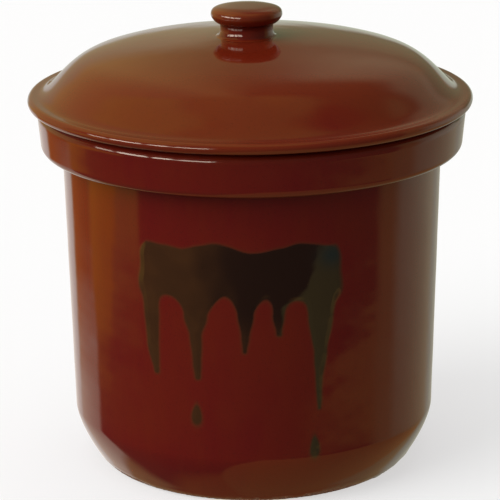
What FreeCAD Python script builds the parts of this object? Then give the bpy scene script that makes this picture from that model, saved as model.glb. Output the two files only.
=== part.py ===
"""Glazed stoneware fermenting crock with a domed lid, a turned knob and two half-moon weights.

Row frame, millimetres: +Z up, origin at the centre of the foot, on the shelf.
Every piece is turned about +Z except the weights, which are two halves of one disc.
"""

import FreeCAD
import Part

import os

# Crock: outside
FOOT_RADIUS = 95.5
FOOT_RECESS_RADIUS = 82.0
FOOT_RECESS_DEPTH = 2.5
FOOT_RECESS_SLOPE = 2.0
HEEL_HEIGHT = 33.0
HEEL_LOW_HANDLE = (98.6, 1.2)
HEEL_HIGH_HANDLE_DROP = 10.7
WALL_RADIUS_AT_HEEL = 111.8
WALL_RADIUS_AT_COLLAR = 115.5
COLLAR_BOTTOM_Z = 196.3
COLLAR_RADIUS_BOTTOM = 128.2
COLLAR_RADIUS_TOP = 130.4
RIM_Z = 222.0

# Crock: inside
WALL = 8.5
FLOOR_Z = 11.0
FLOOR_CORNER = 18.0

# Crock: softened edges
COLLAR_UNDERCUT = 2.5
COLLAR_LOWER_EDGE = 4.6
RIM_OUTER_EDGE = 4.5
RIM_INNER_EDGE = 4.0

# Lid: outside, with the handles of its curves as (radius, z)
LID_RADIUS = 135.0
FLANGE_THICKNESS = 6.3
FLANGE_GAP = 1.5
CROWN_Z = 263.6
KNOB_SEAT_RADIUS = 17.5
CROWN_HANDLE = (41.5, 261.9)
SHOULDER_HANDLE = (84.5, 259.1)
SHOULDER = (101.9, 250.5)
FLANK_HANDLE = (115.4, 243.9)
COVE_HANDLE_RADIUS = 122.0
COVE_END_RADIUS = 129.0

# Lid: underside
BEARING_OUTER_RADIUS = 118.5
LOCATING_RING_CLEARANCE = 2.8
LOCATING_RING_WIDTH = 6.5
LOCATING_RING_DEPTH = 12.0
LOCATING_RING_DRAFT = 0.8
LID_WALL = 8.0
INNER_SPRING_Z = 224.0
INNER_SPRING_RISE = 20.0
INNER_HAUNCH_HANDLE = (87.0, 248.1)
INNER_HAUNCH = (65.0, 251.1)
INNER_VAULT_HANDLE = (45.0, 253.8)
INNER_CROWN_HANDLE_RADIUS = 30.0
INNER_CROWN_RADIUS = 12.0
RING_EDGE = 2.5

# Knob, with heights above its seat
KNOB_HEIGHT = 18.4
KNOB_FOOT_RADIUS = 17.4
KNOB_FLARE_HANDLE = (16.4, 1.9)
KNOB_FLARE_RISE = 1.6
KNOB_WAIST_RADIUS = 16.0
KNOB_WAIST = 4.9
KNOB_THROAT_LOW_HANDLE = 7.4
KNOB_THROAT_HIGH_HANDLE = (16.2, 8.0)
KNOB_THROAT = (17.2, 8.15)
KNOB_UNDERSIDE_HANDLE = (19.5, 8.45)
KNOB_UNDERSIDE_DROP = 0.8
KNOB_HEAD_RADIUS = 21.6
KNOB_HEAD_WIDEST = 13.0
KNOB_CHEEK_RISE = 4.6
KNOB_TOP_HANDLE_RADIUS = 19.5

# Weights
WEIGHT_RADIUS = 89.5
WEIGHT_THICKNESS = 20.0
WEIGHT_SPLIT = 3.0
WEIGHT_EDGE = 6.0
WEIGHT_CORNER = 14.0
WEIGHT_HOLE_RADIUS = 12.0
WEIGHT_HOLE_OFFSET = 40.0
WEIGHT_HOLE_EDGE = 3.0

FLANGE_BOTTOM_Z = RIM_Z + FLANGE_GAP
FLANGE_TOP_Z = FLANGE_BOTTOM_Z + FLANGE_THICKNESS
Z_AXIS = FreeCAD.Vector(0, 0, 1)
ORIGIN = FreeCAD.Vector(0, 0, 0)
SAME_PLACE = 0.05


def wall_radius(z):
    """Outside radius of the wall's straight taper at height z."""
    share = (z - HEEL_HEIGHT) / (COLLAR_BOTTOM_Z - HEEL_HEIGHT)
    return WALL_RADIUS_AT_HEEL + share * (WALL_RADIUS_AT_COLLAR - WALL_RADIUS_AT_HEEL)


MOUTH_RADIUS = wall_radius(RIM_Z) - WALL
LOCATING_RING_RADIUS = MOUTH_RADIUS - LOCATING_RING_CLEARANCE
LOCATING_RING_BOTTOM_Z = RIM_Z - LOCATING_RING_DEPTH


class Outline:
    """A half section in the XZ plane, drawn point to point as (radius, z) and then turned about Z."""

    def __init__(self, radius, z):
        self.start = self.pen = FreeCAD.Vector(radius, 0, z)
        self.edges = []

    def line(self, radius, z):
        tip = FreeCAD.Vector(radius, 0, z)
        self.edges.append(Part.makeLine(self.pen, tip))
        self.pen = tip
        return self

    def arc(self, via, tip):
        """Circular arc through via to tip."""
        points = [FreeCAD.Vector(r, 0, z) for r, z in (via, tip)]
        self.edges.append(Part.Arc(self.pen, *points).toShape())
        self.pen = points[1]
        return self

    def curve(self, *controls):
        """Bezier curve: its controls, of which the last is where it ends."""
        points = [self.pen] + [FreeCAD.Vector(r, 0, z) for r, z in controls]
        bezier = Part.BezierCurve()
        bezier.setPoles(points)
        self.edges.append(bezier.toShape())
        self.pen = points[-1]
        return self

    def turn(self):
        """Closes the outline and turns it into a solid."""
        self.line(self.start.x, self.start.z)
        face = Part.Face(Part.Wire(self.edges))
        return face.revolve(ORIGIN, Z_AXIS, 360)


def round_rings(solid, *corners):
    """Fillets the circular edges at (radius, z), one corner (radius, z, fillet) at a time."""
    for radius, z, fillet in corners:
        near = [
            edge
            for edge in solid.Edges
            if isinstance(edge.Curve, Part.Circle)
            and abs(edge.Curve.Radius - radius) < SAME_PLACE
            and abs(edge.Curve.Center.z - z) < SAME_PLACE
        ]
        solid = solid.makeFillet(fillet, near)
    return solid.Solids[0]


def crock_body():
    """Pot with a foot ring, a full heel, a gently flared wall and a thick collar round the mouth."""
    heel_high_z = HEEL_HEIGHT - HEEL_HIGH_HANDLE_DROP
    inner_floor_radius = wall_radius(FLOOR_Z) - WALL
    outline = Outline(0, FOOT_RECESS_DEPTH)
    outline.line(FOOT_RECESS_RADIUS, FOOT_RECESS_DEPTH)
    outline.line(FOOT_RECESS_RADIUS + FOOT_RECESS_SLOPE, 0)
    outline.line(FOOT_RADIUS, 0)
    outline.curve(
        HEEL_LOW_HANDLE,
        (wall_radius(heel_high_z), heel_high_z),
        (WALL_RADIUS_AT_HEEL, HEEL_HEIGHT),
    )
    outline.line(WALL_RADIUS_AT_COLLAR, COLLAR_BOTTOM_Z)
    outline.line(COLLAR_RADIUS_BOTTOM, COLLAR_BOTTOM_Z)
    outline.line(COLLAR_RADIUS_TOP, RIM_Z)
    outline.line(MOUTH_RADIUS, RIM_Z)
    outline.line(inner_floor_radius, FLOOR_Z)
    outline.line(0, FLOOR_Z)
    return round_rings(
        outline.turn(),
        (inner_floor_radius, FLOOR_Z, FLOOR_CORNER),
        (MOUTH_RADIUS, RIM_Z, RIM_INNER_EDGE),
        (COLLAR_RADIUS_TOP, RIM_Z, RIM_OUTER_EDGE),
        (COLLAR_RADIUS_BOTTOM, COLLAR_BOTTOM_Z, COLLAR_LOWER_EDGE),
        (WALL_RADIUS_AT_COLLAR, COLLAR_BOTTOM_Z, COLLAR_UNDERCUT),
    )


def lid():
    """Domed lid: flat knob seat, full shoulder, cove, round-edged flange, bearing and locating rings."""
    half = FLANGE_THICKNESS / 2
    inner_crown_z = CROWN_Z - LID_WALL
    ring_inner = LOCATING_RING_RADIUS - LOCATING_RING_WIDTH
    outline = Outline(0, CROWN_Z)
    outline.line(KNOB_SEAT_RADIUS, CROWN_Z)
    outline.curve(CROWN_HANDLE, SHOULDER_HANDLE, SHOULDER)
    outline.curve(
        FLANK_HANDLE,
        (COVE_HANDLE_RADIUS, FLANGE_TOP_Z),
        (COVE_END_RADIUS, FLANGE_TOP_Z),
    )
    outline.line(LID_RADIUS - half, FLANGE_TOP_Z)
    outline.arc((LID_RADIUS, FLANGE_TOP_Z - half), (LID_RADIUS - half, FLANGE_BOTTOM_Z))
    outline.line(BEARING_OUTER_RADIUS + FLANGE_GAP, FLANGE_BOTTOM_Z)
    outline.line(BEARING_OUTER_RADIUS, RIM_Z)
    outline.line(LOCATING_RING_RADIUS, RIM_Z)
    outline.line(LOCATING_RING_RADIUS - LOCATING_RING_DRAFT, LOCATING_RING_BOTTOM_Z)
    outline.line(ring_inner, LOCATING_RING_BOTTOM_Z)
    outline.line(ring_inner, INNER_SPRING_Z)
    outline.curve(
        (ring_inner, INNER_SPRING_Z + INNER_SPRING_RISE),
        INNER_HAUNCH_HANDLE,
        INNER_HAUNCH,
    )
    outline.curve(
        INNER_VAULT_HANDLE,
        (INNER_CROWN_HANDLE_RADIUS, inner_crown_z),
        (INNER_CROWN_RADIUS, inner_crown_z),
    )
    outline.line(0, inner_crown_z)
    return round_rings(
        outline.turn(),
        (LOCATING_RING_RADIUS - LOCATING_RING_DRAFT, LOCATING_RING_BOTTOM_Z, RING_EDGE),
        (ring_inner, LOCATING_RING_BOTTOM_Z, RING_EDGE),
    )


def lid_knob():
    """Turned knob luted to the lid: slightly flared foot, waisted neck and a round-edged head."""

    def at(radius, height):
        return (radius, CROWN_Z + height)

    outline = Outline(0, CROWN_Z)
    outline.line(KNOB_FOOT_RADIUS, CROWN_Z)
    outline.curve(
        at(*KNOB_FLARE_HANDLE),
        at(KNOB_WAIST_RADIUS, KNOB_WAIST - KNOB_FLARE_RISE),
        at(KNOB_WAIST_RADIUS, KNOB_WAIST),
    )
    outline.curve(
        at(KNOB_WAIST_RADIUS, KNOB_THROAT_LOW_HANDLE),
        at(*KNOB_THROAT_HIGH_HANDLE),
        at(*KNOB_THROAT),
    )
    outline.curve(
        at(*KNOB_UNDERSIDE_HANDLE),
        at(KNOB_HEAD_RADIUS, KNOB_HEAD_WIDEST - KNOB_UNDERSIDE_DROP),
        at(KNOB_HEAD_RADIUS, KNOB_HEAD_WIDEST),
    )
    outline.curve(
        at(KNOB_HEAD_RADIUS, KNOB_HEAD_WIDEST + KNOB_CHEEK_RISE),
        at(KNOB_TOP_HANDLE_RADIUS, KNOB_HEIGHT),
        at(0, KNOB_HEIGHT),
    )
    return outline.turn()


def weight(side):
    """Half-moon weight on the crock's floor, with a finger hole. side is -1 for left and +1 for right."""
    near = WEIGHT_SPLIT / 2
    corner = FreeCAD.Vector(near if side > 0 else -WEIGHT_RADIUS, -WEIGHT_RADIUS, FLOOR_Z)
    disc = Part.makeCylinder(WEIGHT_RADIUS, WEIGHT_THICKNESS, FreeCAD.Vector(0, 0, FLOOR_Z), Z_AXIS)
    half = disc.common(Part.makeBox(WEIGHT_RADIUS - near, 2 * WEIGHT_RADIUS, WEIGHT_THICKNESS, corner))
    upright = [
        edge
        for edge in half.Edges
        if abs(edge.BoundBox.ZLength - WEIGHT_THICKNESS) < SAME_PLACE
        and abs(edge.BoundBox.Center.x - side * near) < SAME_PLACE
    ]
    half = half.makeFillet(WEIGHT_CORNER, upright)
    level = [edge for edge in half.Edges if edge.BoundBox.ZLength < SAME_PLACE]
    half = half.makeFillet(WEIGHT_EDGE, level)
    hole_centre = FreeCAD.Vector(side * WEIGHT_HOLE_OFFSET, 0, FLOOR_Z)
    hole = Part.makeCylinder(WEIGHT_HOLE_RADIUS, WEIGHT_THICKNESS, hole_centre, Z_AXIS)
    half = half.cut(hole)
    return round_rings(
        half,
        (WEIGHT_HOLE_RADIUS, FLOOR_Z, WEIGHT_HOLE_EDGE),
        (WEIGHT_HOLE_RADIUS, FLOOR_Z + WEIGHT_THICKNESS, WEIGHT_HOLE_EDGE),
    )


PIECES = {
    "crock_body": crock_body,
    "lid": lid,
    "lid_knob": lid_knob,
    "weight_left": lambda: weight(-1),
    "weight_right": lambda: weight(+1),
}

os.makedirs("parts", exist_ok=True)
for name, make in PIECES.items():
    make().exportStep(os.path.join("parts", name + ".step"))
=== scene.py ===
import math

import bpy
import numpy as np
from mathutils import Matrix, Vector


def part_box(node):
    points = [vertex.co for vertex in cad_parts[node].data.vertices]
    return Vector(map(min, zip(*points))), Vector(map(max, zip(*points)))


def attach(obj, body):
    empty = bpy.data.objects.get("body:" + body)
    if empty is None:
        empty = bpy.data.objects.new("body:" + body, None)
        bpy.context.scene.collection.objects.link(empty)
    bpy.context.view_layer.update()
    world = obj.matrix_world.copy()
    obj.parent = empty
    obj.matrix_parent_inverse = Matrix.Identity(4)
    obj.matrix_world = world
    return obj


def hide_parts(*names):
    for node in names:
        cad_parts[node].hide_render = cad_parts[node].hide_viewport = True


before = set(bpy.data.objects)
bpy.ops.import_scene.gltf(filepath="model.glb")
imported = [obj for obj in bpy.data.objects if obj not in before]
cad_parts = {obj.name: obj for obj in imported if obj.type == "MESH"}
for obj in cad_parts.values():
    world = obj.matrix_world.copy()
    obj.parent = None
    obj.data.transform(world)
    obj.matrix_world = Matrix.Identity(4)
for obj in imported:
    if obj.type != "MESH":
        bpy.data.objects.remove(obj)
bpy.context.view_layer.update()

MM = 0.001
TURN = 2 * math.pi


def size(node, corner, axis):
    """One coordinate of a CAD node's box, in millimetres. corner is 0 for low and 1 for high."""
    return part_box(node)[corner][axis] / MM


# Sizes of the half sections, in millimetres, hung on the boxes of the CAD pieces
FOOT_Z = size("crock_body", 0, 2)
RIM_Z = size("crock_body", 1, 2)
COLLAR_TOP_RADIUS = size("crock_body", 1, 0) + 0.4
COLLAR_BOTTOM_RADIUS = COLLAR_TOP_RADIUS - 2.2
COLLAR_BOTTOM_Z = RIM_Z - 25.7
WALL_TOP_RADIUS = COLLAR_TOP_RADIUS - 14.9
HEEL_RADIUS = WALL_TOP_RADIUS - 3.7
HEEL_Z = FOOT_Z + 33.0
FOOT_RADIUS = HEEL_RADIUS - 16.3
FOOT_RING_RADIUS = FOOT_RADIUS - 11.5
FOOT_RECESS = 2.5
WALL_THICKNESS = 8.5
FLOOR_Z = size("weight_left", 0, 2)
FLOOR_ROUNDING = 18.0
COLLAR_ROUNDING = 4.6
RIM_ROUNDING = 4.5
MOUTH_ROUNDING = 4.0
LID_RADIUS = size("lid", 1, 0)
CROWN_Z = size("lid_knob", 0, 2)
FLANGE_BOTTOM_Z = RIM_Z + 1.5
FLANGE_TOP_Z = FLANGE_BOTTOM_Z + 6.3
FLANGE_ROUNDING = (FLANGE_TOP_Z - FLANGE_BOTTOM_Z) / 2 - 0.02
FLANGE_START_RADIUS = LID_RADIUS - 6.0
SHOULDER = (LID_RADIUS - 33.1, CROWN_Z - 13.1)
BEARING_RADIUS = 118.5
LID_RING_GAP = 2.8
LID_RING_WIDTH = 6.5
LID_RING_BOTTOM_Z = size("lid", 0, 2)
LID_THICKNESS = 8.0
INNER_HAUNCH = (65.0, CROWN_Z - 12.5)
KNOB_TOP_Z = size("lid_knob", 1, 2)
KNOB_RADIUS = size("lid_knob", 1, 0)
KNOB_WIDEST = 13.0
KNOB_WAIST_RADIUS = 16.0
KNOB_WAIST = 4.9
KNOB_THROAT = (17.2, 8.15)
KNOB_FLARE = (17.0, 0.9)
KNOB_SEAT = (18.8, -0.15)
KNOB_SUNK = 0.6

# How far the loose lid and the hand-set knob sit off the crock's axis
LID_SLIP = -0.7
KNOB_SLIP = -2.4


# ---------------------------------------------------------------- half sections, in millimetres


def bezier(*handles, steps=80):
    """Points of a Bezier curve whose handles are (radius, z)."""
    t = np.linspace(0, 1, steps)[:, None]
    order = len(handles) - 1
    weights = [math.comb(order, i) * (1 - t) ** (order - i) * t**i for i in range(order + 1)]
    return sum(w * np.array(h, float) for w, h in zip(weights, handles))


def chain(*corners, steps=16):
    """Straight runs between corners (radius, z, rounding), with each corner rounded by an arc."""
    points = []
    for i, (r, z, rounding) in enumerate(corners):
        here = np.array([r, z], float)
        if rounding == 0 or i in (0, len(corners) - 1):
            points.append(here)
            continue
        back = np.array(corners[i - 1][:2]) - here
        ahead = np.array(corners[i + 1][:2]) - here
        back /= np.linalg.norm(back)
        ahead /= np.linalg.norm(ahead)
        half = math.acos(np.clip(back @ ahead, -1, 1)) / 2
        centre = here + (back + ahead) / np.linalg.norm(back + ahead) * rounding / math.sin(half)
        first = here + back * rounding / math.tan(half) - centre
        last = here + ahead * rounding / math.tan(half) - centre
        for t in np.linspace(0, 1, steps):
            spoke = first * (1 - t) + last * t
            points.append(centre + spoke / np.linalg.norm(spoke) * rounding)
    return np.array(points)


def resample(points, step_at):
    """The same line with points every step_at(radius, z) millimetres."""
    moved = np.linalg.norm(np.diff(points, axis=0), axis=1)
    points = points[np.r_[True, moved > 1e-6]]
    length = np.r_[0, np.cumsum(np.linalg.norm(np.diff(points, axis=0), axis=1))]
    fine = np.linspace(0, length[-1], int(length[-1] / 0.05))
    line = np.stack([np.interp(fine, length, points[:, k]) for k in (0, 1)], 1)
    count = np.r_[0, np.cumsum((fine[1] - fine[0]) / step_at(line[1:, 0], line[1:, 1]))]
    ticks = np.linspace(0, count[-1], int(round(count[-1])) + 1)
    return np.stack([np.interp(ticks, count, line[:, k]) for k in (0, 1)], 1)


def wall_radius(z):
    """Outside radius of the crock's straight wall at height z."""
    share = (z - HEEL_Z) / (COLLAR_BOTTOM_Z - HEEL_Z)
    return HEEL_RADIUS + share * (WALL_TOP_RADIUS - HEEL_RADIUS)


def crock_section():
    """From the middle of the recessed foot, up the outside and over the rim to the floor's middle."""
    recess_z = FOOT_Z + FOOT_RECESS
    low_handle = (FOOT_RADIUS + 3.1, FOOT_Z + 1.2)
    high_handle = (wall_radius(HEEL_Z - 10.7), HEEL_Z - 10.7)
    floor_radius = wall_radius(FLOOR_Z) - WALL_THICKNESS
    mouth_radius = wall_radius(RIM_Z) - WALL_THICKNESS
    foot = chain(
        (0, recess_z, 0),
        (FOOT_RING_RADIUS - 2, recess_z, 1.0),
        (FOOT_RING_RADIUS, FOOT_Z, 0.6),
        (FOOT_RADIUS, FOOT_Z, 0),
    )
    heel = bezier((FOOT_RADIUS, FOOT_Z), low_handle, high_handle, (HEEL_RADIUS, HEEL_Z))
    rest = chain(
        (HEEL_RADIUS, HEEL_Z, 0),
        (WALL_TOP_RADIUS, COLLAR_BOTTOM_Z, 2.5),
        (COLLAR_BOTTOM_RADIUS, COLLAR_BOTTOM_Z, COLLAR_ROUNDING),
        (COLLAR_TOP_RADIUS, RIM_Z, RIM_ROUNDING),
        (mouth_radius, RIM_Z, MOUTH_ROUNDING),
        (floor_radius, FLOOR_Z, FLOOR_ROUNDING),
        (0, FLOOR_Z, 0),
    )
    return np.vstack([foot, heel, rest])


def lid_section():
    """From the inner crown's middle, down the ring, out under the flange and up over the dome."""
    ring_radius = wall_radius(RIM_Z) - WALL_THICKNESS - LID_RING_GAP
    ring_inner = ring_radius - LID_RING_WIDTH
    under_crown_z = CROWN_Z - LID_THICKNESS
    flange_start = (FLANGE_START_RADIUS, FLANGE_TOP_Z)
    crown = bezier((17.5, CROWN_Z), (41.5, CROWN_Z - 1.7), (84.5, CROWN_Z - 4.5), SHOULDER)
    steepest = (LID_RADIUS - 19.6, CROWN_Z - 19.7)
    flank = bezier(SHOULDER, steepest, (LID_RADIUS - 13.0, FLANGE_TOP_Z), flange_start)
    under = chain(
        (*flange_start, 0),
        (LID_RADIUS, FLANGE_TOP_Z, FLANGE_ROUNDING),
        (LID_RADIUS, FLANGE_BOTTOM_Z, FLANGE_ROUNDING),
        (BEARING_RADIUS + 1.5, FLANGE_BOTTOM_Z, 0.8),
        (BEARING_RADIUS, RIM_Z, 0.8),
        (ring_radius, RIM_Z, 1.0),
        (ring_radius - 0.8, LID_RING_BOTTOM_Z, 2.5),
        (ring_inner, LID_RING_BOTTOM_Z, 2.5),
        (ring_inner, RIM_Z + 2, 0),
    )
    ring_inner_top = (ring_inner, RIM_Z + 2)
    spring = bezier(ring_inner_top, (ring_inner, RIM_Z + 22), (87, CROWN_Z - 15.5), INNER_HAUNCH)
    vault = bezier(INNER_HAUNCH, (45, CROWN_Z - 9.8), (30, under_crown_z), (12, under_crown_z))
    outside = [[(0, CROWN_Z)], crown, flank]
    inside = [spring, vault, [(0, under_crown_z)]]
    return np.vstack([*outside, under, *inside])[::-1]


def knob_section():
    """From the middle of the knob's foot up its outside to the middle of its top."""

    def at(radius, height):
        """Section point from its height over the lid's crown."""
        return (radius, CROWN_Z + height)

    top = KNOB_TOP_Z - CROWN_Z
    widest = at(KNOB_RADIUS, KNOB_WIDEST)
    waist = at(KNOB_WAIST_RADIUS, KNOB_WAIST)
    head = bezier(at(0, top), at(19.5, top), at(KNOB_RADIUS, KNOB_WIDEST + 4.6), widest)
    cheek = bezier(widest, at(KNOB_RADIUS, 12.2), at(19.5, 8.45), at(*KNOB_THROAT))
    throat = bezier(at(*KNOB_THROAT), at(16.2, 8.0), at(KNOB_WAIST_RADIUS, 7.4), waist)
    flare = bezier(waist, at(KNOB_WAIST_RADIUS, 3.3), at(16.3, 2.0), at(*KNOB_FLARE))
    fillet = bezier(at(*KNOB_FLARE), at(17.3, 0.4), at(17.9, 0.05), at(*KNOB_SEAT))
    foot = [at(*KNOB_SEAT), at(KNOB_SEAT[0], -KNOB_SUNK), at(0, -KNOB_SUNK)]
    return np.vstack([head, cheek, throat, flare, fillet, foot])[::-1]


# ---------------------------------------------------------------- turned surfaces


FRONT_ARC = (-44.0, 36.0)


def columns(step, front_step=None):
    """Angles round the pot in radians, 0 at the front, from steps in degrees, finer on FRONT_ARC."""
    if front_step is None:
        return np.linspace(-math.pi, math.pi, round(360 / step), endpoint=False)
    low, high = FRONT_ARC
    fine = np.linspace(low, high, round((high - low) / front_step))
    coarse = np.linspace(high, low + 360, round((360 - high + low) / step))[1:-1]
    return np.radians(np.r_[fine, coarse])


def waves(points, wavelength, seed, count=24):
    """Smooth random field of unit size over points (..., 3), with features about one wavelength wide."""
    random = np.random.default_rng(seed)
    direction = random.normal(size=(count, 3))
    direction /= np.linalg.norm(direction, axis=1)[:, None]
    rate = TURN / (wavelength * random.uniform(0.75, 1.4, count))
    phase = random.uniform(0, TURN, count)
    return np.sin(points @ (direction * rate[:, None]).T + phase).sum(-1) * math.sqrt(2 / count)


def smoothstep(low, high, value):
    """0 below low, 1 above high and eased between; the other way round if high is the smaller."""
    t = np.clip((value - low) / (high - low), 0, 1)
    return t * t * (3 - 2 * t)


def section_normals(section):
    """Outward normals of a section, which runs with the solid on its left-hand side."""
    along = np.gradient(section, axis=0)
    along /= np.maximum(np.linalg.norm(along, axis=1), 1e-9)[:, None]
    return np.stack([along[:, 1], -along[:, 0]], 1)


class Turned:
    """A section turned about Z into a grid of points, on which relief and masks are worked out."""

    def __init__(self, section, angles, slip=0.0):
        self.section = section
        self.angles = angles
        self.slip = slip
        self.radius = section[:, :1] + 0 * angles
        self.z = section[:, 1:] + 0 * angles
        self.normal = section_normals(section)
        self.points = self.at(0)
        self.length = np.r_[0, np.cumsum(np.linalg.norm(np.diff(section, axis=0), axis=1))][:, None]
        self.length = self.length + 0 * angles

    def at(self, height):
        """The grid's points, in millimetres, raised by height along the surface normal."""
        radius = self.radius + self.normal[:, :1] * height
        z = self.z + self.normal[:, 1:] * height
        return np.stack([self.slip + radius * np.sin(self.angles), -radius * np.cos(self.angles), z], -1)

    def build(self, name, height, masks):
        """Mesh object of the grid raised by height, with each mask as a point attribute."""
        fade = smoothstep(0, 6, self.radius)
        points = self.at(height * fade)
        rows, cols = self.radius.shape
        inner = points[1:-1].reshape(-1, 3)
        ends = np.array([points[0].mean(0), points[-1].mean(0)])
        verts = np.vstack([inner, ends]) * MM
        index = np.arange((rows - 2) * cols).reshape(rows - 2, cols)
        right = np.roll(index, -1, axis=1)
        quads = np.stack([index[:-1], right[:-1], right[1:], index[1:]], -1).reshape(-1, 4)
        first, last = len(inner), len(inner) + 1
        fans = [(first, b, a) for a, b in zip(index[0], right[0])]
        fans += [(last, a, b) for a, b in zip(index[-1], right[-1])]
        mesh = bpy.data.meshes.new(name)
        mesh.from_pydata(verts.tolist(), [], quads.tolist() + fans)
        for key, mask in masks.items():
            values = np.broadcast_to(mask, self.radius.shape)
            flat = np.r_[values[1:-1].ravel(), values[0].mean(), values[-1].mean()]
            layer = mesh.attributes.new(key, "FLOAT", "POINT")
            layer.data.foreach_set("value", flat.astype(np.float32))
        mesh.shade_smooth()
        mesh.update()
        made = bpy.data.objects.new(name, mesh)
        bpy.context.scene.collection.objects.link(made)
        return made


def bend(section, reach=2.0):
    """How sharply a section bows outward: about 1 on a tight edge and -1 in a tight hollow."""
    normals = section_normals(section)
    before, after = np.roll(normals, 1, axis=0), np.roll(normals, -1, axis=0)
    turn = before[:, 0] * after[:, 1] - before[:, 1] * after[:, 0]
    step = np.linalg.norm(np.roll(section, -1, axis=0) - np.roll(section, 1, axis=0), axis=1)
    rate = turn / np.maximum(step, 1e-6)
    rate[:2] = rate[-2:] = 0
    length = np.r_[0, np.cumsum(np.linalg.norm(np.diff(section, axis=0), axis=1))]
    spread = np.exp(-(((length[:, None] - length[None]) / reach) ** 2))
    weight = np.gradient(length)
    return (spread * (rate * weight)).sum(1) / (spread * weight).sum(1)


# ---------------------------------------------------------------- poured glaze runs on the front

# In millimetres across the wall from the front line, and up from the ground. The band's lines are
# (across, z). Each run falls from the band through nodes (across, z, half width). Stray beads are
# (across, z, half width, half height).
BAND_LEFT, BAND_RIGHT = -69.3, 52.4
BAND_TOP = [
    (-72, 158), (-64, 163.4), (-42, 162), (-23, 166),
    (1.5, 161), (28, 165.4), (49, 162.6), (56, 157),
]
BAND_LOW = [(-70, 134), (-51, 133), (-15.5, 135), (8.4, 133.6), (26.7, 131.2), (50, 132)]
RUNS = {
    "left": [(-62.6, 138, 6.8), (-62.4, 123.5, 4.9), (-61.5, 101, 3.8), (-59.6, 84.5, 1.7)],
    "funnel": [
        (-33.5, 138, 15), (-34, 121.5, 6.8), (-34, 108.5, 3.3),
        (-33.2, 91.5, 2.4), (-33, 84, 1.6),
    ],
    "middle": [(-4.0, 138, 10), (-4.3, 123, 4.6), (-4.7, 110, 2.2), (-5, 101, 1.2)],
    "short": [(16.5, 138, 7), (14.8, 122.6, 3.1), (15, 111.5, 1.8)],
    "right": [(40.5, 138, 11), (40, 120, 7.7), (40, 97.6, 4.1), (38.8, 82.5, 2.1), (39.2, 63, 0.9)],
}
BEADS = [(-34.0, 59.9, 3.0, 5.9), (36.3, 38.3, 2.9, 6.8)]


def soft_min(a, b, k):
    """Smaller of a and b, blended over k where they are close."""
    h = np.clip(0.5 + 0.5 * (b - a) / k, 0, 1)
    return b + (a - b) * h - k * h * (1 - h)


def eased(x, nodes):
    """Value at x of a line eased from node to node, each (x, value)."""
    places, values = np.array(nodes, float).T
    before = np.clip(np.searchsorted(places, x) - 1, 0, len(places) - 2)
    share = smoothstep(0, 1, (x - places[before]) / (places[before + 1] - places[before]))
    return values[before] + share * (values[before + 1] - values[before])


def run_distance(x, z, nodes):
    """Distance outside a tapering run of glaze, negative inside it."""
    nearest = np.full(x.shape, 1e3)
    for (x0, z0, w0), (x1, z1, w1) in zip(nodes, nodes[1:]):
        dx, dz = x1 - x0, z1 - z0
        t = np.clip(((x - x0) * dx + (z - z0) * dz) / (dx * dx + dz * dz), 0, 1)
        t_eased = t * t * (3 - 2 * t)
        gap = np.hypot(x - x0 - dx * t, z - z0 - dz * t) - (w0 + (w1 - w0) * t_eased)
        nearest = np.minimum(nearest, gap)
    return nearest


def pour_distance(x, z):
    """Distance outside the poured glaze, in millimetres: a wavy band, its runs and two stray beads."""
    band = -soft_min(eased(x, BAND_TOP) - z, z - eased(x, BAND_LOW), 4)
    band = -soft_min(-band, x - BAND_LEFT, 5)
    shape = -soft_min(-band, BAND_RIGHT - x, 6)
    for nodes in RUNS.values():
        shape = soft_min(shape, run_distance(x, z, nodes), 5)
    for bead_x, bead_z, half_width, half_height in BEADS:
        taper = half_width * (1 - 0.25 * (z - bead_z) / half_height)
        ratio = np.hypot((x - bead_x) / taper, (z - bead_z) / half_height)
        shape = np.minimum(shape, (ratio - 1) * half_width)
    return shape


# ---------------------------------------------------------------- pieces


def glaze_ripple(points, seed, flow=0.028):
    """Slow flow and fine orange-peel of a glazed surface, in millimetres."""
    return flow * waves(points, 42, seed) + 0.22 * flow * waves(points, 11, seed + 1)


# Mesh steps along the sections, in millimetres, and where the finer ones lie (radius, z)
INSIDE_STEP = 2.4
OUTSIDE_STEP = 1.1
POUR_STEP = 0.62
POUR_ZONE = (28, 172)
COLLAR_STEP = 0.7
COLLAR_CORNER = (120, 210)
COLLAR_REACH = 22
LID_STEP = 1.3
FLANGE_STEP = 0.5
FLANGE_FROM_RADIUS = 108
KNOB_STEP = 0.45

# Mesh steps round the pieces, in degrees
CROCK_COLUMN = 1.0
CROCK_FRONT_COLUMN = 0.31
LID_COLUMN = 0.6
KNOB_COLUMN = 1.8

# Heights and lengths of the relief, in millimetres
POUR_THICKNESS = 0.26
GLAZE_THICKNESS = 0.2
GLAZE_LINE = 2.6
GLAZE_ROLL = 0.3
THROWING_RING = 0.10
THROWING_PITCH = 8.5
WALL_SWELL = 0.02
WALL_SWELL_PITCH = 31
CROWN_RING = 0.012
CROWN_RING_PITCH = 19
INNER_RING = 0.15
INNER_RING_PITCH = 9
CLAY_GRAIN = 0.05
BEARING_GRAIN = 0.04
GRAIN_SIZE = 2.5
BARE_FROM_RADIUS = 96
SMOOTH_ROUND_KNOB = (19, 26)

# The poured glaze's colours, placed across the wall from the front line and up from the ground
POUR_HALF_ARC = 1.2
FAR_AWAY = 9
SOFT_END = (44, 54)
OLIVE_FROM = 26
OLIVE_SLANT = 0.34
OLIVE_BEND_Z = 136.5
# Painted reflection: the pour turns browner towards its left side and towards the low ends of its runs,
# where its glaze mirrors light.
PAINTED_SHEEN_SIDE = (-6, -44)
PAINTED_SHEEN_LOW_Z = (126, 104)
TEAL_SPOT = (47, 157)
TEAL_SIZE = (8, 7)


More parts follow.
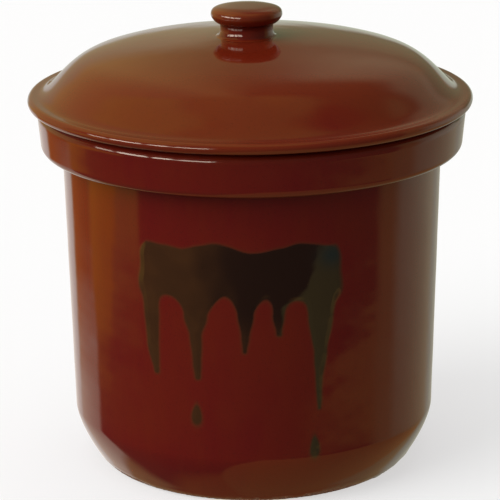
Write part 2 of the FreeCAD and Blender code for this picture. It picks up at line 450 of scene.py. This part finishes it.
def crock_step(radius, z):
    """Mesh step along the crock's section: fine where glaze is poured and round the collar."""
    outside = radius > wall_radius(z) - WALL_THICKNESS / 2
    poured = outside & (z > POUR_ZONE[0]) & (z < POUR_ZONE[1]) & (radius > HEEL_RADIUS - 8)
    collar = np.hypot(radius - COLLAR_CORNER[0], z - COLLAR_CORNER[1]) < COLLAR_REACH
    plain = np.where(outside, OUTSIDE_STEP, INSIDE_STEP)
    return np.where(poured, POUR_STEP, np.where(collar, COLLAR_STEP, plain))


def lid_step(radius, z):
    """Mesh step along the lid's section: fine round the flange."""
    return np.where(radius > FLANGE_FROM_RADIUS, FLANGE_STEP, LID_STEP)


def knob_step(radius, z):
    """Mesh step along the knob's section: the same all the way."""
    return np.full_like(radius, KNOB_STEP)


def edge_masks(section, thin, pool, thin_reach=2.0, pool_reach=2.0):
    """Where glaze is thin on edges and pooled in hollows, each eased over a range of bend."""
    return {
        "thin": smoothstep(*thin, bend(section, thin_reach))[:, None],
        "pool": smoothstep(*pool, -bend(section, pool_reach))[:, None],
    }


def pour_masks(pot, on_wall):
    """Where the poured glaze lies, where its colours and its painted sheen are, and how thick it is."""
    across = np.where(np.abs(pot.angles) < POUR_HALF_ARC, pot.angles, FAR_AWAY) * pot.radius
    edge = pour_distance(across, pot.z) + 0.16 * waves(pot.points, 13, seed=3)
    blur = 0.6 + 1.5 * smoothstep(*SOFT_END, across)
    olive_from = OLIVE_FROM + OLIVE_SLANT * np.maximum(pot.z - OLIVE_BEND_Z, 0)
    olive_from += 4.8 * smoothstep(132, 140, pot.z)
    olive_from -= 9.5 * smoothstep(134, 127, pot.z)
    past_olive = across - olive_from + 0.8 * waves(pot.points, 9, seed=5)
    # Painted reflection: browner to the left of the pour and at its low run ends.
    painted_sheen_left = smoothstep(*PAINTED_SHEEN_SIDE, across + 3 * waves(pot.points, 16, seed=6))
    painted_sheen_low = 0.45 * smoothstep(*PAINTED_SHEEN_LOW_Z, pot.z)
    teal_aside = (across - TEAL_SPOT[0]) / TEAL_SIZE[0]
    teal_above = (pot.z - TEAL_SPOT[1]) / TEAL_SIZE[1]
    masks = {
        "pour": smoothstep(blur, -blur, edge),
        "painted_sheen": np.clip(painted_sheen_left + painted_sheen_low, 0, 1),
        "olive": smoothstep(-1.5, 2.5, past_olive),
        "teal": np.exp(-(teal_aside**2 + teal_above**2)),
        "halo": np.exp(-((edge / 1.1) ** 2)),
    }
    thick = smoothstep(1.2, -3.4, edge) * on_wall
    return {key: value * on_wall for key, value in masks.items()}, thick


def foot_masks(pot, outside):
    """Where the foot's clay is bare, and where the glaze ends above it in a low roll."""
    wander = 0.8 * waves(pot.points, 60, seed=7) + 0.25 * waves(pot.points, 9, seed=8)
    over_line = pot.z - (FOOT_Z + GLAZE_LINE + wander)
    below = outside * smoothstep(0.25, -0.25, over_line)
    under_foot = outside * (pot.radius < FOOT_RADIUS + 1) * (pot.z < FOOT_Z + FOOT_RECESS + 0.5)
    bare = np.maximum(below, under_foot)
    roll = outside * np.exp(-(((over_line - 1.3) / 1.2) ** 2)) * (1 - bare)
    return bare, roll


def crock():
    """The crock, glazed inside and out down to just above its foot."""
    section = resample(crock_section(), crock_step)
    pot = Turned(section, columns(CROCK_COLUMN, CROCK_FRONT_COLUMN))
    outside = (pot.length < pot.length[np.argmax(section[:, 1]), 0]) * 1.0
    on_wall = outside * smoothstep(HEEL_RADIUS - 20, HEEL_RADIUS - 10, pot.radius)
    on_wall *= smoothstep(COLLAR_BOTTOM_Z - 4, COLLAR_BOTTOM_Z - 8, pot.z)
    poured, thick = pour_masks(pot, on_wall)
    bare, roll = foot_masks(pot, outside)
    throwing_rings = np.sin(pot.length * TURN / THROWING_PITCH + pot.angles)
    height = glaze_ripple(pot.points, seed=11) * (1 - bare)
    height += THROWING_RING * throwing_rings * (1 - outside)
    height += POUR_THICKNESS * thick + GLAZE_ROLL * roll
    height += outside * WALL_SWELL * np.sin(pot.z * TURN / WALL_SWELL_PITCH + 1)
    height += bare * (CLAY_GRAIN * waves(pot.points, GRAIN_SIZE, seed=13) - GLAZE_THICKNESS)
    masks = {**edge_masks(section, (0.06, 0.32), (0.05, 0.3)), "bare": bare, **poured}
    return pot.build("crock_pot", height, masks)


def lid():
    """The domed lid, glazed but for its locating ring and the flat that rests on the rim."""
    section = resample(lid_section(), lid_step)
    dome = Turned(section, columns(LID_COLUMN), LID_SLIP)
    top = (dome.length > dome.length[np.argmax(section[:, 0]), 0]) * 1.0
    ragged_radius = dome.radius + 0.3 * waves(dome.points, 12, seed=21)
    bare = (1 - top) * smoothstep(BEARING_RADIUS + 3, BEARING_RADIUS + 2, ragged_radius)
    bare *= smoothstep(BARE_FROM_RADIUS, BARE_FROM_RADIUS + 1, dome.radius)
    bare *= dome.z < RIM_Z + 4
    crown_rings = np.sin(dome.radius * TURN / CROWN_RING_PITCH) * smoothstep(30, 45, dome.radius)
    inner_rings = np.sin(dome.radius * TURN / INNER_RING_PITCH) * (dome.z > RIM_Z + 6)
    height = glaze_ripple(dome.points, seed=23, flow=0.02) * (1 - bare)
    height += top * CROWN_RING * crown_rings + (1 - top) * INNER_RING * inner_rings
    height *= smoothstep(*SMOOTH_ROUND_KNOB, dome.radius) * top + (1 - top)
    height += BEARING_GRAIN * bare * waves(dome.points, GRAIN_SIZE, seed=25)
    masks = {**edge_masks(section, (0.06, 0.3), (0.02, 0.12), pool_reach=4), "bare": bare}
    return dome.build("lid_dome", height, masks)


def knob():
    """The turned knob, sunk a little into the lid; what is sunk is bare."""
    section = resample(knob_section(), knob_step)
    turned = Turned(section, columns(KNOB_COLUMN), KNOB_SLIP)
    sunk = (turned.z < CROWN_Z - KNOB_SUNK / 2) * 1.0
    height = 0.012 * waves(turned.points, 14, seed=31) + 0.003 * waves(turned.points, 5, seed=32)
    height *= (1 - sunk) * smoothstep(CROWN_Z, CROWN_Z + 2, turned.z)
    masks = {**edge_masks(section, (0.08, 0.4), (0.05, 0.3), 1.2, 1.5), "bare": sunk}
    return turned.build("knob_turned", height, masks)


# Each weight's own seed, so that the two don't look like copies
WEIGHT_SEEDS = {"weight_left": 41, "weight_right": 51}
WEIGHT_VOXEL = 1.1
WEIGHT_SOFTENING = 6


def weight(node_name):
    """Pressed half-moon weight: the CAD shape with softened edges, a slight warp and a grain."""
    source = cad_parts[node_name]
    shape = source.data.copy()
    shape.transform(source.matrix_world)
    piece = bpy.data.objects.new(node_name + "_pressed", shape)
    bpy.context.scene.collection.objects.link(piece)
    remesh = piece.modifiers.new("even_mesh", "REMESH")
    remesh.mode = "VOXEL"
    remesh.voxel_size = WEIGHT_VOXEL * MM
    soften = piece.modifiers.new("soften", "SMOOTH")
    soften.iterations = WEIGHT_SOFTENING
    evaluated = piece.evaluated_get(bpy.context.evaluated_depsgraph_get())
    mesh = bpy.data.meshes.new_from_object(evaluated)
    piece.modifiers.clear()
    piece.data = mesh
    count = len(mesh.vertices)
    place, normal = np.empty(count * 3), np.empty(count * 3)
    mesh.vertices.foreach_get("co", place)
    mesh.vertex_normals.foreach_get("vector", normal)
    place = place.reshape(-1, 3) / MM
    seed = WEIGHT_SEEDS[node_name]
    warp = 0.16 * waves(place, 34, seed)
    dents = 0.07 * waves(place, 9, seed + 1)
    grain = 0.05 * waves(place, 3.2, seed + 2)
    raised = (warp + dents + grain)[:, None] * normal.reshape(-1, 3)
    mesh.vertices.foreach_set("co", ((place + raised) * MM).ravel())
    mesh.shade_smooth()
    mesh.update()
    return piece


# ---------------------------------------------------------------- materials


def set_inputs(tree, made, inputs):
    """Each input of a node set to a value or linked to a socket."""
    for key, value in inputs.items():
        if isinstance(value, bpy.types.NodeSocket):
            tree.links.new(value, made.inputs[key])
        else:
            made.inputs[key].default_value = value


def node(tree, kind, inputs=None, **settings):
    """A new shader node with its settings and inputs."""
    made = tree.nodes.new(kind)
    for name, value in settings.items():
        setattr(made, name, value)
    set_inputs(tree, made, inputs or {})
    return made


def calc(tree, operation, a, b=0.0, c=0.0):
    """Result of one arithmetic operation on sockets or numbers."""
    return node(tree, "ShaderNodeMath", {0: a, 1: b, 2: c}, operation=operation).outputs[0]


def mix(tree, share, a, b):
    """Colour a where share is 0, and colour b where it is 1."""
    inputs = {"Factor": share, 6: a, 7: b}
    return node(tree, "ShaderNodeMix", inputs, data_type="RGBA").outputs[2]


def tint(tree, share, strength, a, b):
    """Colour a, with up to strength of colour b where share is 1."""
    return mix(tree, calc(tree, "MULTIPLY", share, strength), a, b)


def colour(red, green, blue):
    """An opaque colour in linear light."""
    return (red, green, blue, 1.0)


def mask(tree, name):
    """One of the masks that Turned.build wrote on the mesh."""
    return node(tree, "ShaderNodeAttribute", attribute_name=name).outputs["Fac"]


def speckle(tree, place, wavelength, low, high, detail=2.0):
    """0 to 1 mottling about one wavelength (millimetres) wide, with contrast between low and high."""
    inputs = {"Vector": place, "Scale": 1 / (wavelength * MM), "Detail": detail}
    field = node(tree, "ShaderNodeTexNoise", inputs).outputs["Fac"]
    inputs = {"Value": field, "From Min": low, "From Max": high}
    return node(tree, "ShaderNodeMapRange", inputs, interpolation_type="SMOOTHSTEP").outputs[0]


def new_material(name):
    """A material with its node tree, its surface shader and the place on the piece, in metres."""
    material = bpy.data.materials.new(name)
    material.use_nodes = True
    tree = material.node_tree
    tree.nodes.clear()
    surface = node(tree, "ShaderNodeBsdfPrincipled")
    node(tree, "ShaderNodeOutputMaterial", {"Surface": surface.outputs[0]})
    place = node(tree, "ShaderNodeTexCoord").outputs["Object"]
    return material, tree, surface, place


IRON_RED = colour(0.118, 0.0055, 0.0048)
IRON_BROWN = colour(0.140, 0.016, 0.0035)
THIN_ORANGE = colour(0.22, 0.070, 0.018)
POOL_DARK = colour(0.050, 0.007, 0.005)
BARE_CLAY = colour(0.30, 0.155, 0.085)
BARE_CLAY_DARK = colour(0.17, 0.075, 0.04)
POUR_BLACK = colour(0.010, 0.0055, 0.003)
# Painted reflection colour for the pour's left side and low run ends.
POUR_PAINTED_SHEEN = colour(0.050, 0.021, 0.0065)
POUR_OLIVE = colour(0.036, 0.029, 0.011)
POUR_TEAL = colour(0.012, 0.026, 0.022)
POUR_EDGE = colour(0.050, 0.040, 0.012)
BUFF_LIGHT = colour(0.46, 0.36, 0.24)
BUFF_DARK = colour(0.33, 0.23, 0.14)
IRON_SPECK = colour(0.06, 0.03, 0.02)
FLOOR_GREY = colour(0.4, 0.4, 0.4)
WHITE = colour(1, 1, 1)


def poured_glaze(tree, place, body):
    """The body colour with the poured glaze over it: black, with a painted brown sheen to the left and
    low down, and greener in parts.
    """
    mottle = calc(tree, "MULTIPLY_ADD", speckle(tree, place, 18, 0.35, 0.75, 3), 0.3, 0.7)
    # Painted reflection: the brown sheen colour is mixed in to the left and low down, where the glaze
    # mirrors light.
    dark = mix(tree, calc(tree, "MULTIPLY", mask(tree, "painted_sheen"), mottle), POUR_BLACK, POUR_PAINTED_SHEEN)
    dark = mix(tree, mask(tree, "olive"), dark, POUR_OLIVE)
    dark = mix(tree, mask(tree, "teal"), dark, POUR_TEAL)
    body = tint(tree, mask(tree, "halo"), 0.3, body, POUR_EDGE)
    return tint(tree, mask(tree, "pour"), 0.96, body, dark)


def glaze(name, brown=0.5, edges=0.3, hollows=0.6, poured=False):
    """Glossy iron glaze: red and brown, thin and orange on edges, dark in hollows, with bare clay."""
    material, tree, surface, place = new_material(name)
    broad = speckle(tree, place, 70, 0.3, 0.7)
    drawn_down = node(tree, "ShaderNodeMapping", {"Vector": place, "Scale": (1, 1, 0.22)}).outputs[0]
    streak = speckle(tree, drawn_down, 9, 0.35, 0.75, 4)
    fine = speckle(tree, place, 0.9, 0.58, 0.74, 1)
    brownness = calc(tree, "MULTIPLY_ADD", broad, 0.4, brown - 0.2)
    body = mix(tree, brownness, IRON_RED, IRON_BROWN)
    body = tint(tree, streak, 0.22, body, IRON_BROWN)
    body = tint(tree, fine, 0.35, body, POOL_DARK)
    body = tint(tree, mask(tree, "thin"), edges, body, THIN_ORANGE)
    body = tint(tree, mask(tree, "pool"), hollows, body, POOL_DARK)
    if poured:
        body = poured_glaze(tree, place, body)
    bare = mask(tree, "bare")
    clay = mix(tree, speckle(tree, place, 1.6, 0.35, 0.65, 3), BARE_CLAY_DARK, BARE_CLAY)
    gloss = calc(tree, "MULTIPLY_ADD", speckle(tree, place, 14, 0.3, 0.7), 0.04, 0.05)
    pits = calc(tree, "MULTIPLY", speckle(tree, place, 1.1, 0.3, 0.8, 2), 0.04)
    grain = calc(tree, "MULTIPLY", speckle(tree, place, 0.7, 0.3, 0.7, 3), bare)
    relief = {"Height": calc(tree, "ADD", pits, grain), "Strength": 0.35, "Distance": 0.15 * MM}
    set_inputs(tree, surface, {
        "Base Color": mix(tree, bare, body, clay),
        "Roughness": calc(tree, "MULTIPLY_ADD", bare, 0.78, gloss),
        "IOR": 1.5,
        "Normal": node(tree, "ShaderNodeBump", relief).outputs[0],
    })
    return material


def stoneware(name):
    """Unglazed buff clay with grog and iron specks."""
    material, tree, surface, place = new_material(name)
    body = mix(tree, speckle(tree, place, 22, 0.35, 0.65, 4), BUFF_DARK, BUFF_LIGHT)
    specks = speckle(tree, place, 1.3, 0.62, 0.7, 1)
    grain = speckle(tree, place, 0.9, 0.3, 0.7, 4)
    relief = {"Height": grain, "Strength": 0.5, "Distance": 0.25 * MM}
    set_inputs(tree, surface, {
        "Base Color": tint(tree, specks, 0.8, body, IRON_SPECK),
        "Roughness": 0.85,
        "Normal": node(tree, "ShaderNodeBump", relief).outputs[0],
    })
    return material


# ---------------------------------------------------------------- stage, light and camera


FLOOR_REACH = 12.0
FLOOR_GAP = 0.0002
FLOOR_GLOW = 0.58


def add_floor():
    """A pale glowing floor just under the pot, that the glaze doesn't mirror."""
    reach = FLOOR_REACH
    corners = [(-reach, -reach), (reach, -reach), (reach, reach), (-reach, reach)]
    mesh = bpy.data.meshes.new("studio_floor")
    mesh.from_pydata([(x, y, -FLOOR_GAP) for x, y in corners], [], [(0, 1, 2, 3)])
    floor = bpy.data.objects.new("studio_floor", mesh)
    bpy.context.scene.collection.objects.link(floor)
    material, tree, surface, _ = new_material("pale_floor")
    set_inputs(tree, surface, {
        "Base Color": FLOOR_GREY,
        "Roughness": 1.0,
        "Specular IOR Level": 0.0,
        "Emission Color": WHITE,
        "Emission Strength": FLOOR_GLOW,
    })
    mesh.materials.append(material)
    floor.visible_glossy = False
    floor.visible_diffuse = False


def sky_direction(azimuth, elevation):
    """Direction of a place in the sky, in degrees. Azimuth 0 is towards the camera, 90 to its right."""
    around, up = math.radians(azimuth), math.radians(elevation)
    return Vector((
        math.sin(around) * math.cos(up),
        -math.cos(around) * math.cos(up),
        math.sin(up),
    ))


# Broad suns that light the clay and the glaze's own colour: name, direction of the sun, strength
# and how wide it is in degrees. The glaze mirrors the world instead of them.
SUNS = (
    ("key", sky_direction(-62, 32), 2.3, 50),
    ("overhead", Vector((-0.3, 0.1, 1)), 0.8, 70),
    ("behind", Vector((0.5, 0.87, 0.16)), 0.7, 60),
)


def add_suns():
    """The suns, each shining from its direction on the pot."""
    for name, direction, strength, width in SUNS:
        data = bpy.data.lights.new(name, "SUN")
        data.energy = strength
        data.angle = math.radians(width)
        light = bpy.data.objects.new(name, data)
        light.location = direction
        light.rotation_euler = (-direction).to_track_quat("-Z", "Y").to_euler()
        light.visible_glossy = False
        bpy.context.scene.collection.objects.link(light)


# What the glaze mirrors, later entries over earlier ones: name, azimuth range, elevation range, edge
# softness (degrees), lean (azimuth gained per degree of elevation) and colour. Azimuth 0 is towards
# the camera and grows to its right; ranges may run past 180.
MIRRORED = (
    ("back wall", (100, 260), (-15, 95), 8, 0, (0.12, 0.13, 0.07)),
    ("left wall", (-175, -104), (-14, 95), 10, 0, (0.60, 0.48, 0.18)),
    ("above window", (-125, -50), (36, 95), 7, 0, (0.68, 0.62, 0.15)),
    ("left near wall", (-104, -84), (-16, 4), 5, 0, (0.60, 0.45, 0.16)),
    ("left low wall", (-150, -73), (-20, -8), 2.2, 0, (0.60, 0.36, 0.10)),
    ("left curtain", (-112, -84), (-20, -10), 2.5, 3, (1.05, 0.42, 0.05)),
    ("left gap", (-144, -118), (-21.5, -12), 4, 0, (0.62, 0.20, 0.05)),
    ("left near floor", (-181, -118), (-75, -38), 8, 0, (0.56, 0.38, 0.18)),
    ("left floor", (-181, -117), (-44, -20), 2.5, 0, (0.98, 0.80, 0.64)),
    ("left glare", (-181, -149), (-40, -8), 3, 0.6, (1.02, 0.92, 0.84)),
    ("left sheen", (-181, -150), (-4, 17), 4, 0, (0.48, 0.46, 0.27)),
    ("left edge light", (-181, -158), (-14, 2.5), 2, 0, (0.74, 0.76, 0.68)),
    ("window pane 1", (-90, -78), (6, 19), 1.5, -0.4, (6, 5.4, 4.4)),
    ("window pane 2", (-75, -57), (5, 20), 1.5, -0.2, (11, 9.8, 8.2)),
    ("window pane 3", (-53, -42), (5, 20), 1.5, 0, (11, 9.8, 8.2)),
    ("window pane 4", (-39, -20), (5, 20), 1.5, 0.2, (8, 7.2, 6)),
    ("table right", (60, 140), (-23.6, -19.8), 1.2, 14, (0.46, 0.26, 0.10)),
    ("right wall foot", (84, 160), (-26, 26), 4, 0, (0.42, 0.26, 0.11)),
    ("right wall", (99, 152), (-26, 26), 6, 0, (0.56, 0.50, 0.34)),
    ("right panel", (108, 146), (-13, 14), 7, 0, (0.72, 0.70, 0.54)),
    ("right high wall", (92, 122), (24, 42), 5, 0, (0.30, 0.28, 0.13)),
    ("right floor", (84, 160), (-78, -22), 7, 0, (0.48, 0.34, 0.17)),
    ("right back wall", (128, 176), (18, 40), 6, 0, (0.40, 0.42, 0.25)),
    ("right glare", (146, 181), (-42, 2), 5, 0, (0.50, 0.48, 0.38)),
    ("right shade", (140, 181), (4, 17), 3, 0, (0.26, 0.30, 0.17)),
    ("right edge light", (146, 181), (-11, 2.5), 2, 0, (0.64, 0.70, 0.57)),
    ("table", (-180, 180), (-100, -64), 6, 0, (0.46, 0.21, 0.08)),
    ("table front", (-32, 108), (-100, -28), 2.5, 1.0, (0.52, 0.27, 0.10)),
    ("ceiling", (-180, 180), (68, 100), 6, 0, (0.40, 0.36, 0.12)),
)
MIRRORED_DARK = (0.11, 0.07, 0.06)
SOFT_FILL = (0.34, 0.33, 0.32)


def soft_range(tree, gap, reach, soft):
    """1 where gap is within reach either way and 0 beyond, eased over soft degrees."""
    limits = {0: calc(tree, "ABSOLUTE", gap), 1: reach + soft, 2: reach - soft}
    return node(tree, "ShaderNodeMapRange", limits, interpolation_type="SMOOTHSTEP").outputs[0]


def add_world():
    """White to the camera, an even fill to matt surfaces and the mirrored studio to glossy ones."""
    world = bpy.data.worlds.new("studio")
    world.use_nodes = True
    tree = world.node_tree
    tree.nodes.clear()
    facing = node(tree, "ShaderNodeTexCoord").outputs["Generated"]
    parts = node(tree, "ShaderNodeSeparateXYZ", {0: facing}).outputs
    backward = calc(tree, "MULTIPLY", parts[1], -1.0)
    azimuth = calc(tree, "DEGREES", calc(tree, "ARCTAN2", parts[0], backward))
    elevation = calc(tree, "DEGREES", calc(tree, "ARCSINE", parts[2]))
    mirrored = colour(*MIRRORED_DARK)
    for _, across, upward, soft, lean, shade in MIRRORED:
        middle, half = sum(across) / 2, (across[1] - across[0]) / 2
        rise, tall = sum(upward) / 2, (upward[1] - upward[0]) / 2
        above = calc(tree, "SUBTRACT", elevation, rise)
        sideways = calc(tree, "MULTIPLY_ADD", above, -lean, azimuth)
        aside = calc(tree, "WRAP", calc(tree, "SUBTRACT", sideways, middle), 180.0, -180.0)
        within_sides = soft_range(tree, aside, half, soft)
        within_heights = soft_range(tree, above, tall, soft)
        inside = calc(tree, "MULTIPLY", within_sides, within_heights)
        mirrored = mix(tree, inside, mirrored, colour(*shade))
    ray = node(tree, "ShaderNodeLightPath").outputs
    shown = mix(tree, ray["Is Glossy Ray"], colour(*SOFT_FILL), mirrored)
    shown = mix(tree, ray["Is Camera Ray"], shown, WHITE)
    sky = node(tree, "ShaderNodeBackground", {"Color": shown})
    node(tree, "ShaderNodeOutputWorld", {"Surface": sky.outputs[0]})
    bpy.context.scene.world = world


CAMERA_DISTANCE = 1.5
CAMERA_ELEVATION = 17.3
CAMERA_AIM_Z = 0.12
CAMERA_ROLL = math.radians(0.5)
CAMERA_LENS = 173.8
CAMERA_SENSOR = 36
CAMERA_SHIFT_X = -0.0054
CAMERA_SHIFT_Y = 0.0244


def add_camera():
    """A long lens at the front, looking slightly down, with the small roll of a hand-held picture."""
    data = bpy.data.cameras.new("camera")
    data.lens = CAMERA_LENS
    data.sensor_width = CAMERA_SENSOR
    data.shift_x = CAMERA_SHIFT_X
    data.shift_y = CAMERA_SHIFT_Y
    camera = bpy.data.objects.new("camera", data)
    back = sky_direction(0, CAMERA_ELEVATION)
    camera.location = Vector((0, 0, CAMERA_AIM_Z)) + back * CAMERA_DISTANCE
    facing = (-back).to_track_quat("-Z", "Y").to_matrix().to_4x4()
    roll = Matrix.Rotation(-CAMERA_ROLL, 4, "Z")
    camera.rotation_euler = (facing @ roll).to_euler()
    bpy.context.scene.collection.objects.link(camera)
    bpy.context.scene.camera = camera


def finish_piece(piece, body, material, cad_node):
    """The piece in its material, moving with its body and shown in place of its CAD piece."""
    piece.data.materials.clear()
    piece.data.materials.append(material)
    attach(piece, body)
    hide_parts(cad_node)


crock_look = glaze("crock_glaze_look", brown=0.22, edges=0.1, poured=True)
lid_look = glaze("lid_glaze_look", brown=0.62, edges=0.08, hollows=0.15)
knob_look = glaze("knob_glaze_look", brown=0.4)
weight_look = stoneware("weight_clay")
finish_piece(crock(), "crock", crock_look, "crock_body")
finish_piece(lid(), "lid", lid_look, "lid")
finish_piece(knob(), "lid", knob_look, "lid_knob")
for side in WEIGHT_SEEDS:
    finish_piece(weight(side), side, weight_look, side)

add_floor()
add_suns()
add_world()
add_camera()
bpy.context.scene.view_settings.view_transform = "Standard"
